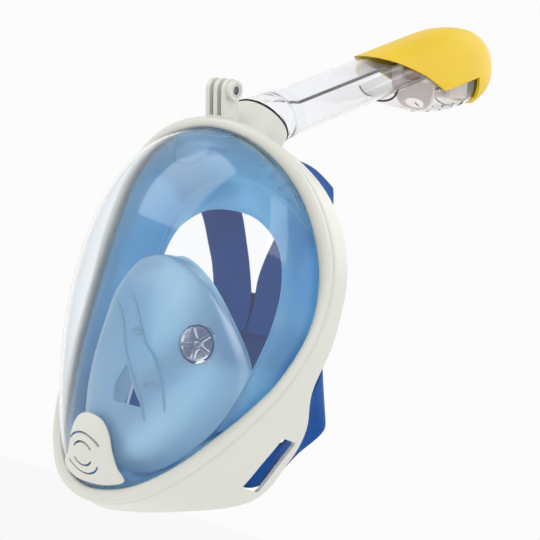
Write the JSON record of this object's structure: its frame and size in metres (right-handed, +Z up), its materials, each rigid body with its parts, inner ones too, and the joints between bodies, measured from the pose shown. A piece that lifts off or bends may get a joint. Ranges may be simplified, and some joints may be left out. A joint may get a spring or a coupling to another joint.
{
  "type": "full face snorkel",
  "caption": "Full face snorkel mask with a clear curved lens, blue face skirt and nose cup, elastic head straps and a plug-in dry-top snorkel.",
  "frame": {"origin": "middle of the face opening, on the plane of the face seal", "axes": "worn pose: +Z up along the face, -Y the way the wearer looks, +X to the wearer's left"},
  "size_m": [0.1908, 0.3108, 0.421],
  "materials": {
    "white_plastic": "satin off-white moulded plastic",
    "clear_lens": "clear polycarbonate",
    "clear_plastic": "clear polycarbonate",
    "blue_silicone": "translucent blue silicone",
    "cup_silicone": "translucent light blue silicone",
    "flap_rubber": "thin clear silicone",
    "valve_plastic": "pale blue plastic",
    "black_rubber": "matt black rubber",
    "navy_webbing": "woven navy elastic webbing",
    "pad_fabric": "navy padded fabric",
    "yellow_plastic": "glossy yellow plastic",
    "orange_seal": "orange silicone",
    "orange_plastic": "orange plastic",
    "float_foam": "pale closed-cell foam",
    "steel": "stainless steel"
  },
  "bodies": {
    "mask": {"frame_ring": "white_plastic", "snorkel_socket": "white_plastic", "camera_mount": "white_plastic", "mount_nut": "steel", "lens": "clear_lens", "face_skirt": "blue_silicone", "clamp_ring": "white_plastic", "clamp_screws": "steel", "nose_cup": "cup_silicone", "drain_seat": "white_plastic", "chin_cover": "white_plastic", "airway_plate": "white_plastic", "inhale_seat_left": "valve_plastic", "inhale_seat_right": "valve_plastic", "lower_bar_left": "steel", "lower_bar_right": "steel", "upper_bar_left": "steel", "upper_bar_right": "steel", "upper_strap_left": "navy_webbing", "upper_strap_right": "navy_webbing", "lower_strap_left": "navy_webbing", "lower_strap_right": "navy_webbing", "rear_pad": "pad_fabric"},
    "snorkel": {"socket_seal": "black_rubber", "snorkel_elbow": "clear_plastic", "snorkel_tube": "clear_plastic", "tube_partition": "clear_plastic", "float_cage": "clear_plastic", "top_cap": "yellow_plastic", "port_seat": "orange_seal", "float_pin": "steel"},
    "float_valve": {"float_arm": "orange_plastic", "float_seal": "orange_seal", "float_block": "float_foam"},
    "inhale_valve_left": {"inhale_flap_left": "flap_rubber"},
    "inhale_valve_right": {"inhale_flap_right": "flap_rubber"},
    "drain_valve": {"drain_flap": "flap_rubber"},
    "exhale_valve_left": {"exhale_flap_left": "flap_rubber"},
    "exhale_valve_right": {"exhale_flap_right": "flap_rubber"}
  },
  "joints": [
    {"name": "snorkel_lift", "type": "slide", "parent": "mask", "child": "snorkel", "axis": [0, 0.3811, 0.9245], "range_m": [0, 0.02]},
    {"name": "float_swing", "type": "hinge", "parent": "snorkel", "child": "float_valve", "pos_m": [0, 0.16344, 0.23383], "axis": [1, 0, 0], "range_deg": [0, 14]},
    {"name": "inhale_lift_left", "type": "slide", "parent": "mask", "child": "inhale_valve_left", "axis": [-0.852, 0.5212, 0.0501], "range_m": [0, 0.0012], "stiffness_N_per_m": 40},
    {"name": "inhale_lift_right", "type": "slide", "parent": "mask", "child": "inhale_valve_right", "axis": [0.852, 0.5212, 0.0501], "range_m": [0, 0.0012], "stiffness_N_per_m": 40},
    {"name": "drain_lift", "type": "slide", "parent": "mask", "child": "drain_valve", "axis": [0, -0.853, -0.5219], "range_m": [0, 0.001], "stiffness_N_per_m": 40},
    {"name": "exhale_lift_left", "type": "slide", "parent": "mask", "child": "exhale_valve_left", "axis": [0, 0.3811, 0.9245], "range_m": [0, 0.0008], "stiffness_N_per_m": 40},
    {"name": "exhale_lift_right", "type": "slide", "parent": "mask", "child": "exhale_valve_right", "axis": [0, 0.3811, 0.9245], "range_m": [0, 0.0008], "stiffness_N_per_m": 40}
  ]
}
